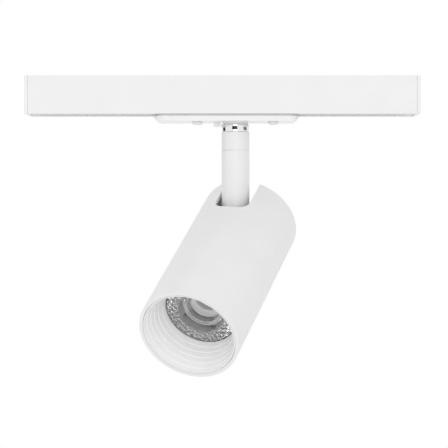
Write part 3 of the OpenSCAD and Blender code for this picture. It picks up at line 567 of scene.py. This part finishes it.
# %% Turn the collar
collar_foot, collar_bore = -44.05, 6.6
collar = turned("painted_collar", [(collar_bore, collar_foot), (stem_radius, collar_foot),
                                   (stem_radius, ring_seat), (collar_bore, ring_seat)], at_stem)
finished(collar, "stem", powder_coat, ["upper_collar"], 0.15)

# %% [markdown]
# ## The stem and its forked knuckle
# The stem is a tube with a spigot at the top, which fits into the collar and leaves a fine
# seam. Its lower end is rounded like a thumb, so that it can turn in the head's slot, and it is
# split in two so that the cable can come out between the hinge screws. It is turned first, then
# cut to the rounded side view, bored, split, drilled across and given a flat seat on each side.

# %% Turn and round the stem
shoulder, seam, spigot_top = 42.45, 42.85, 47.15
stem_outline = [(0, -stem_radius), (stem_radius, -stem_radius), (stem_radius, shoulder),
                (8.05, shoulder), (8.05, seam), (spigot_radius, seam), (spigot_radius, spigot_top),
                (0, spigot_top)]
stem = turned("stem_and_knuckle", stem_outline, at_hinge)
half_turn = [math.pi * (1 + k / 48) for k in range(49)]
thumb = [(stem_radius * math.cos(a), stem_radius * math.sin(a)) for a in half_turn]
thumb += [(stem_radius, 50), (-stem_radius, 50)]
carved(stem, sawn("thumb", thumb, -10, 10, at_hinge @ along_x), how="INTERSECT")
print("stem: its lower end is round from the side, on the hinge's axis")

# %% Bore, split and drill the stem
cable_bore, split_top = 4.6, 7
hinge_bore, seat_radius, seat_from, well_outside = 2.52, 6.3, 7.4, 20
hinge_x = at_hinge @ Matrix.Rotation(math.pi / 2, 4, "Y")
carved(stem, rod(cable_bore, 0, 50, at_hinge))
carved(stem, block((-cable_bore, -10, -well_outside), (cable_bore, 10, split_top), at_hinge))
carved(stem, rod(hinge_bore, -12, 12, hinge_x, 48),
       rod(seat_radius, seat_from, well_outside, hinge_x, 72),
       rod(seat_radius, -well_outside, -seat_from, hinge_x, 72))
finished(stem, "stem", powder_coat, ["stem_tube"], 0.18)

# %% [markdown]
# ## Screws
# The head hangs on two shoulder screws, and three long pan head screws hold its rear end together.
# A screw is turned on the lathe, and its socket is a six sided hole. One function makes them
# all from a few lengths. The head's curve is drawn as shares of its own radius and height, so
# a bigger head keeps its form.

# %% A screw, and a way to join those of one kind
def screw(shank, start, end, head, head_height, place):
    """The head sits below start, so a screw points up its own Z axis."""
    low, tip_slope, socket_radius = start - head_height, 0.3, 0.5 * head
    outline = [(0, low), (head * 0.62, low), (head * 0.9, start - 0.72 * head_height),
               (head, start - 0.3 * head_height), (head, start), (shank, start),
               (shank, end - tip_slope), (shank - tip_slope, end), (0, end)]
    made = turned("screw", outline, place, 48)
    sixths = [math.pi * k / 3 for k in range(6)]
    hexagon = [(socket_radius * math.cos(a), socket_radius * math.sin(a)) for a in sixths]
    return carved(made, sawn("socket", hexagon, low - 1, low + 0.5 * head_height, place))


def joined(name, pieces):
    b = bmesh.new()
    for piece in pieces:
        b.from_mesh(piece.data)
        bpy.data.objects.remove(piece)
    return new_piece(name, b, upright)


print("screws are turned upside down: the head below, the tip above")

# %% Make the hinge screws and the long tie screws
pair = [screw(2.5, -10.85, -4.6, 4.5, 2.6, at_hinge @ Matrix.Rotation(a, 4, "Y"))
        for a in (math.pi / 2, -math.pi / 2)]
finished(joined("hinge_shoulder_screws", pair), "stem", zinc, ["hinge_screws"], 0.12)

tie_places = [(23, 0), (-23, 0), (0, -23)]
ties = [screw(1.5, 0, 50, 2.7, 1.6, at_head @ Matrix.Translation((x * mm, y * mm, 0)))
        for x, y in tie_places]
finished(joined("long_tie_screws", ties), "head", zinc, ["tie_screws"], 0.1)

# %% [markdown]
# ## The head's housing
# The housing is a turned aluminium tube. A slot is milled into its rear, with round corners at the
# closed end, and the stem swings in it. The slot is wider on one side, so that a key
# reaches the hinge screw. The tube is spun with many steps, because its long straight edge
# is what the eye follows, and the slot is cut afterwards with one sawn block.

# %% The cutter for the slot
def slot_cutter():
    left, right, end, corner = -8.85, 12.6, 28.65, 8
    outline = [(left, -3), (right, -3)]
    for cx, start in ((right - corner, 0), (left + corner, 90)):
        for k in range(17):
            a = math.radians(start + 90 * k / 16)
            outline.append((cx + corner * math.cos(a), end - corner + corner * math.sin(a)))
    return sawn("slot", outline, -60, -hinge_aside, at_head @ Matrix.Rotation(math.pi / 2, 4, "X"))


print("the slot is cut from the side of the hinge,", hinge_aside, "mm off the head's axis")

# %% Turn the tube and mill the slot
shell_inside, shell_outside, shell_steps = 27.85, 30, 192
shell = [(shell_inside, 0), (shell_outside, 0), (shell_outside, head_length),
         (shell_inside, head_length)]
housing = turned("head_housing", shell, at_head, shell_steps)
carved(housing, slot_cutter())
finished(housing, "head", powder_coat, ["head_shell"], 0.3, 3)

# %% [markdown]
# ## The rear plate
# A round plate closes the rear end. The stem's bay and three screw holes are cut through it.
# It is sawn from a round outline and not turned: the lathe would leave a fan of thin
# triangles round its middle, and such a fan shades badly once holes are cut through it.

# %% Cut the rear plate
disc_radius, disc_thick, bay_radius, tie_bore = 27.83, 2, 8.85, 1.52
drill_low, drill_high = -1, disc_thick + 1
around = [math.tau * k / shell_steps for k in range(shell_steps)]
disc = [(disc_radius * math.cos(a), disc_radius * math.sin(a)) for a in around]
rear = sawn("rear_cover", disc, 0, disc_thick, at_head)
carved(rear, slot_cutter())
stem_bay = rod(bay_radius, drill_low, drill_high,
               at_head @ Matrix.Translation((0, hinge_aside * mm, 0)), 96)
holes = [rod(tie_bore, drill_low, drill_high,
             at_head @ Matrix.Translation((x * mm, y * mm, 0)), 32) for x, y in tie_places]
carved(rear, stem_bay, *holes)
finished(rear, "head", powder_coat, ["rear_plate"], 0.2)

# %% [markdown]
# ## The stepped baffle
# The baffle is the dull white cone in front of the lens. Its inside goes out in small steps, and
# each step hides the bright lens from people beside the lamp. Drawn as an outline it is a flight
# of stairs: up along the axis, then out, six times. The upright parts lean out a little, which a
# moulder calls draft, because a moulded piece has to come off its core. That leaves only a
# narrow edge at each step to catch the light. A small groove round the front end draws a
# fine line where the baffle meets the housing.

# %% Turn the baffle
lens_face, lens_radius = 94.5, 21.8
stairs, rise, tread, draft = 6, 22.6 / 6, 0.99, 0.83
thickness, widest = 0.9, 27.6
foot_radius, foot_height, groove_width, groove_depth = 26.5, 1.2, 0.5, 0.8
inside, outside = [], []
for k in range(stairs):
    r = lens_radius + k * tread
    inside += [(r, k * rise), (r + draft, (k + 1) * rise)]
    wall = min(widest, r + tread + thickness)
    outside += [(wall, max(k * rise - thickness, foot_height)), (wall, (k + 1) * rise - thickness)]
outside[-1:] = [(wall, stairs * rise - groove_depth), (wall - groove_width, stairs * rise)]
foot = [(foot_radius, foot_height), (foot_radius, 0)]
at_lens = at_head @ Matrix.Translation((0, 0, lens_face * mm))
baffle = turned("stepped_baffle", inside + outside[::-1] + foot, at_lens, 192)
finished(baffle, "head", baffle_white, ["baffle"], 0.22, 3)

# %% [markdown]
# ## The cup that holds the lens
# The lens sits in a thin white cup. Three tall windows in its wall let its snap hooks spring
# and let heat out. They are worth cutting although the cup is deep inside, because they are seen
# through the lens as dark bands with pale wall between them.

# %% Turn the cup and cut its windows
cup_outline = [(25, 0), (26.5, 0), (26.5, 24.5), (22.92, 24.5), (22.92, 22.6), (21.6, 22.6),
               (21.6, 21.6), (25, 20.6)]
cup_back, window_turns = 70, (243, 3, 123)
window_half_width, window_low, window_high = 13.5, 5.4, 18.8
saw_from, saw_to = 20, 30
at_cup = at_head @ Matrix.Translation((0, 0, cup_back * mm))
cup = turned("windowed_cup", cup_outline, at_cup, 144)
windows = []
for turn in window_turns:
    facing = at_cup @ Matrix.Rotation(math.radians(turn), 4, "Z")
    windows.append(block((saw_from, -window_half_width, window_low),
                         (saw_to, window_half_width, window_high), facing))
carved(cup, *windows)
finished(cup, "head", moulded_white, ["lens_cup"], 0.2)

# %% [markdown]
# ## The lens
# A spotlight's lens is a thick clear cone. Light from the source is gathered by the hollow at its
# back, thrown forward by the cone's wall, and spread by hundreds of little pillows on the front.
# The middle of the front is sunk like a cup, and short steps in the cup's wall show as fine
# rings. All of this is real geometry here, because a clear thing gets its looks from how it bends
# what is behind it, and a painted pattern can't do that. The pillows are laid on rows of a
# honeycomb, each a little out of place, as in a real mould.

# %% Lay out the pillows
random.seed(7)
pillow, pillow_tall, pillow_reach = 2.9, 0.72, 0.62
row_spacing, out_of_place, ring_from, ring_to = 0.866, 0.4, 10, 24
centres = []
for row in range(-15, 16):
    for column in range(-15, 16):
        x = (column + 0.5 * (row % 2)) * pillow + random.uniform(-out_of_place, out_of_place)
        y = row * pillow * row_spacing + random.uniform(-out_of_place, out_of_place)
        if ring_from < math.hypot(x, y) < ring_to:
            centres.append((x, y))
tree = kdtree.KDTree(len(centres))
for i, (x, y) in enumerate(centres):
    tree.insert((x, y, 0), i)
tree.balance()


def pillow_height(x, y):
    near = tree.find_n((x, y, 0), 1)[0][2]
    return pillow_tall * (1 - min(near / (pillow_reach * pillow), 1) ** 2)


print("pillows on the lens:", len(centres))

# %% Draw the outline of the lens, from its back round to the middle of its front
depth, cup_rim, front_radius, rim_slope = 19.3, 13.9, 22.6, 0.2
flange_radius, flange_low, flange_high = 22.9, 17.4, 19.1
cone_back, cone_gain, cone_curve = 10, 11.4, 0.62
cup_floor_radius, cup_floor, cup_floor_dome = 8.37, 11.8, 0.5

back_hollow = [(0, 6), (3.5, 5.75), (6.8, 5.05), (7, 4.8), (7, 0)]
cone = [(cone_back + cone_gain * (k / 16) ** cone_curve, flange_low * k / 16) for k in range(17)]
flange = [(flange_radius, flange_low), (flange_radius, flange_high)]
front_width = front_radius - cup_rim - rim_slope
front = [(front_radius - front_width * k / 40, depth) for k in range(41)]
cup_wall = [(cup_rim, depth - rim_slope),
            (12.6, 15.9), (12.2, 15.5), (11.3, 15.5), (10.9, 15.1), (10.2, 15.1), (9.9, 14.7),
            (9.6, 11.2), (9.3, 10.9), (8.9, 10.9), (8.6, 11.3), (8.5, 11.9)]
cup_bottom = [(cup_floor_radius * (1 - k / 8),
               cup_floor + cup_floor_dome * math.sin(math.pi * k / 16)) for k in range(1, 9)]
lens_outline = back_hollow + cone + flange + front + cup_wall + cup_bottom
print("outline of the lens:", len(lens_outline), "points")

# %% [markdown]
# ### The front of the lens
# The lens is swept with 480 steps, and then single points of its front are moved up into
# pillows. The pillows fade out towards both edges of their ring. Outside them a narrow moat is
# pressed down, and it draws a dark outline round the lens. The same loop marks the points
# of the front as frosted for the acrylic.

# %% Sweep the lens, raise the pillows and press the moat
moat_inside, moat_outside, moat_depth = 21.2, 21.9, 0.9
pillows_from, fade_width, pillow_sink = cup_rim + 0.3, 0.5, 0.12
skin, front_edge = (depth - 0.1) * mm, (depth - 0.3) * mm
lens = turned("clear_lens", lens_outline, upright, 480)
frosted = lens.data.attributes.new("frosted", "FLOAT", "POINT")
for v in lens.data.vertices:
    r = math.hypot(v.co.x, v.co.y) / mm
    if r > cup_rim and v.co.z > front_edge:
        frosted.data[v.index].value = 1
    if moat_inside < r < moat_outside and v.co.z > skin:
        v.co.z -= moat_depth * mm
    if pillows_from < r < moat_inside and v.co.z > skin:
        fade = min(1, (r - pillows_from) / fade_width, (moat_inside - r) / fade_width)
        v.co.z += (pillow_height(v.co.x / mm, v.co.y / mm) - pillow_sink) * fade * mm
lens.data.transform(at_head @ Matrix.Translation((0, 0, (lens_face - depth) * mm)))
finished(lens, "head", clear_acrylic, ["lens"], 0)

# %% [markdown]
# ## The pieces that stay as they are
# The other solids already have the right shape. They only need their finish, which is looked up
# in the record: every solid names the kind of material that it is made of. One of them has a
# finish of its own, the holder behind the lens, whose white carries a faint painted glow.

# %% Give every other solid its finish
finish_of = {
    "powder_coat": powder_coat, "white_plastic": moulded_white, "baffle_plastic": baffle_white,
    "ivory_plastic": ivory, "knob_plastic": knob_white_painted_lighter, "copper": copper, "spring_bronze": bronze,
    "zinc_steel": zinc, "bright_chrome": chrome, "bare_aluminium": aluminium,
    "black_nylon": black_nylon, "black_rubber": black_rubber, "grey_rubber": grey_pad,
    "cable_sheath": cable_sheath, "wire_sleeve": red_sleeve, "circuit_board": board_green,
    "winding_tape": yellow_tape, "capacitor_sleeve": blue_sleeve, "terminal_plastic": green_block,
    "ceramic_board": ceramic, "phosphor": phosphor, "clear_lens": clear_acrylic,
}
own_finish = {"led_holder": holder_white_painted_glow}
kept = 0
for row in frame["record"]["subparts"]:
    solid = frame["nodes"][row["node"]]
    if not solid.hide_render:
        solid.data.materials.clear()
        finish = own_finish.get(row["node"], finish_of[row["material_slot"]])
        solid.data.materials.append(finish)
        kept += 1
print("solids shown as they are:", kept)

# %% [markdown]
# ## The sky
# A white lamp on white needs very soft light, and the softest light is a pale sky all round.
# It lights the lamp at 0.85. The camera, mirrors and clear plastic see it as plain white, and
# Light Path tells the sky which kind of ray is asking.

# %% Pale sky
scene = bpy.context.scene
world = bpy.data.worlds.new("pale studio")
scene.world = world
world.use_nodes = True
sky, wire = world.node_tree.nodes, world.node_tree.links.new
rays = sky.new("ShaderNodeLightPath").outputs


def either(first, second):
    larger = sky.new("ShaderNodeMath")
    larger.operation = "MAXIMUM"
    wire(first, larger.inputs[0])
    wire(second, larger.inputs[1])
    return larger.outputs["Value"]


even = 0.85
shade = sky.new("ShaderNodeMix")
shade.data_type = "RGBA"
shade.inputs["A"].default_value = (even, even, even, 1)
shade.inputs["B"].default_value = (1, 1, 1, 1)
seen = either(either(rays["Is Camera Ray"], rays["Is Glossy Ray"]), rays["Is Transmission Ray"])
wire(seen, shade.inputs["Factor"])
wire(shade.outputs["Result"], sky["Background"].inputs["Color"])
print("even light from all round:", even)

# %% [markdown]
# ## Panels
# One big soft panel stands behind the camera and makes the faces that look at it a little brighter
# than those that look down. Two more light a single piece each, which Blender calls light
# linking. A faint fill light stands in the same place for the inside of the baffle, where
# light is lost after a few bounces. A small low panel puts sparkle on the lens's pillows, and on
# the white rim beside them it would be too bright.

# %% Light panels
def panel(name, power, size, where, aim):
    light = bpy.data.lights.new(name, "AREA")
    light.energy = power
    light.size = size
    lamp = bpy.data.objects.new(name, light)
    scene.collection.objects.link(lamp)
    lamp.location = where
    lamp.rotation_euler = (Vector(aim) - Vector(where)).to_track_quat("-Z", "Y").to_euler()
    return lamp


def only_for(lamp, piece):
    chosen = bpy.data.collections.new("lit by the " + lamp.name)
    chosen.objects.link(piece)
    lamp.light_linking.receiver_collection = chosen
    print(f"{lamp.name}: {lamp.data.energy:.1f} W, only for {piece.name}")


behind_camera, middle, mouth = (-0.05, -2.2, -0.05), (0, 0, -0.08), (-0.012, -0.056, -0.15)
soft_panel = panel("soft panel", 8.2, 1.2, behind_camera, middle)
print(f"{soft_panel.name}: {soft_panel.data.energy:.1f} W")
sparkle = panel("sparkle panel", 0.3, 0.5, (-0.34, -0.20, -0.75), mouth)
sparkle.visible_diffuse = False
only_for(sparkle, lens)
only_for(panel("fill panel", 3.5, 1.2, behind_camera, middle), baffle)

# %% [markdown]
# ## Floor and flags
# The floor is a plain pale sheet, far below. Two black cards and a grey one stand round the
# set. Photographers call them flags: the camera never sees them, and they cast no shadow, but
# they show in the ring's reflection as dark patches, and without them the ring would be
# white on white.

# %% Floor and flags
floor_half_width, floor_height = 1.6, -1.0
matt_floor = surface("pale floor", grey(0.86), grey(0.88), (0.8, 0.9), 40, 0.2)
b = bmesh.new()
bmesh.ops.create_grid(b, x_segments=8, y_segments=8, size=floor_half_width)
pale_floor = new_piece("pale_floor", b, Matrix.Translation((0, 0, floor_height)))
pale_floor.data.materials.append(matt_floor)

flag_black = surface("flag cloth", grey(0.004), grey(0.006), (0.9, 1.0), 500, 0.1)
flag_grey = surface("grey card", grey(0.2), grey(0.24), (0.9, 1.0), 500, 0.1)


def flag(name, low, high, cloth):
    card = block(low, high, upright)
    card.name = name
    card.data.materials.append(cloth)
    card.visible_camera = False
    card.visible_diffuse = False
    card.visible_shadow = False
    return card


flags = [
    flag("flag_by_camera", (-660, -1320, -130), (340, -1300, 200), flag_black),
    flag("flag_right", (1000, -400, -100), (1020, 300, 150), flag_grey),
    flag("flag_left", (-1020, 50, -120), (-1000, 700, 170), flag_black),
]
print("stage:", pale_floor.name, "and", ", ".join(card.name for card in flags))

# %% [markdown]
# ## Camera
# The lamp is seen from straight in front, a little below the track, through a long lens. The
# camera is level, so upright edges stay parallel in the render.

# %% Camera
view = bpy.data.cameras.new("camera")
view.sensor_width = 36
view.lens = 149.7
view.clip_end = 50
camera = bpy.data.objects.new("camera", view)
scene.collection.objects.link(camera)
camera.location = (0.00093, -1.13, -0.0888)
camera.rotation_euler = (math.pi / 2, 0, 0)
scene.camera = camera
scene.view_settings.view_transform = "Standard"
print("camera at", [round(v, 4) for v in camera.location], "focal length", round(view.lens, 1))
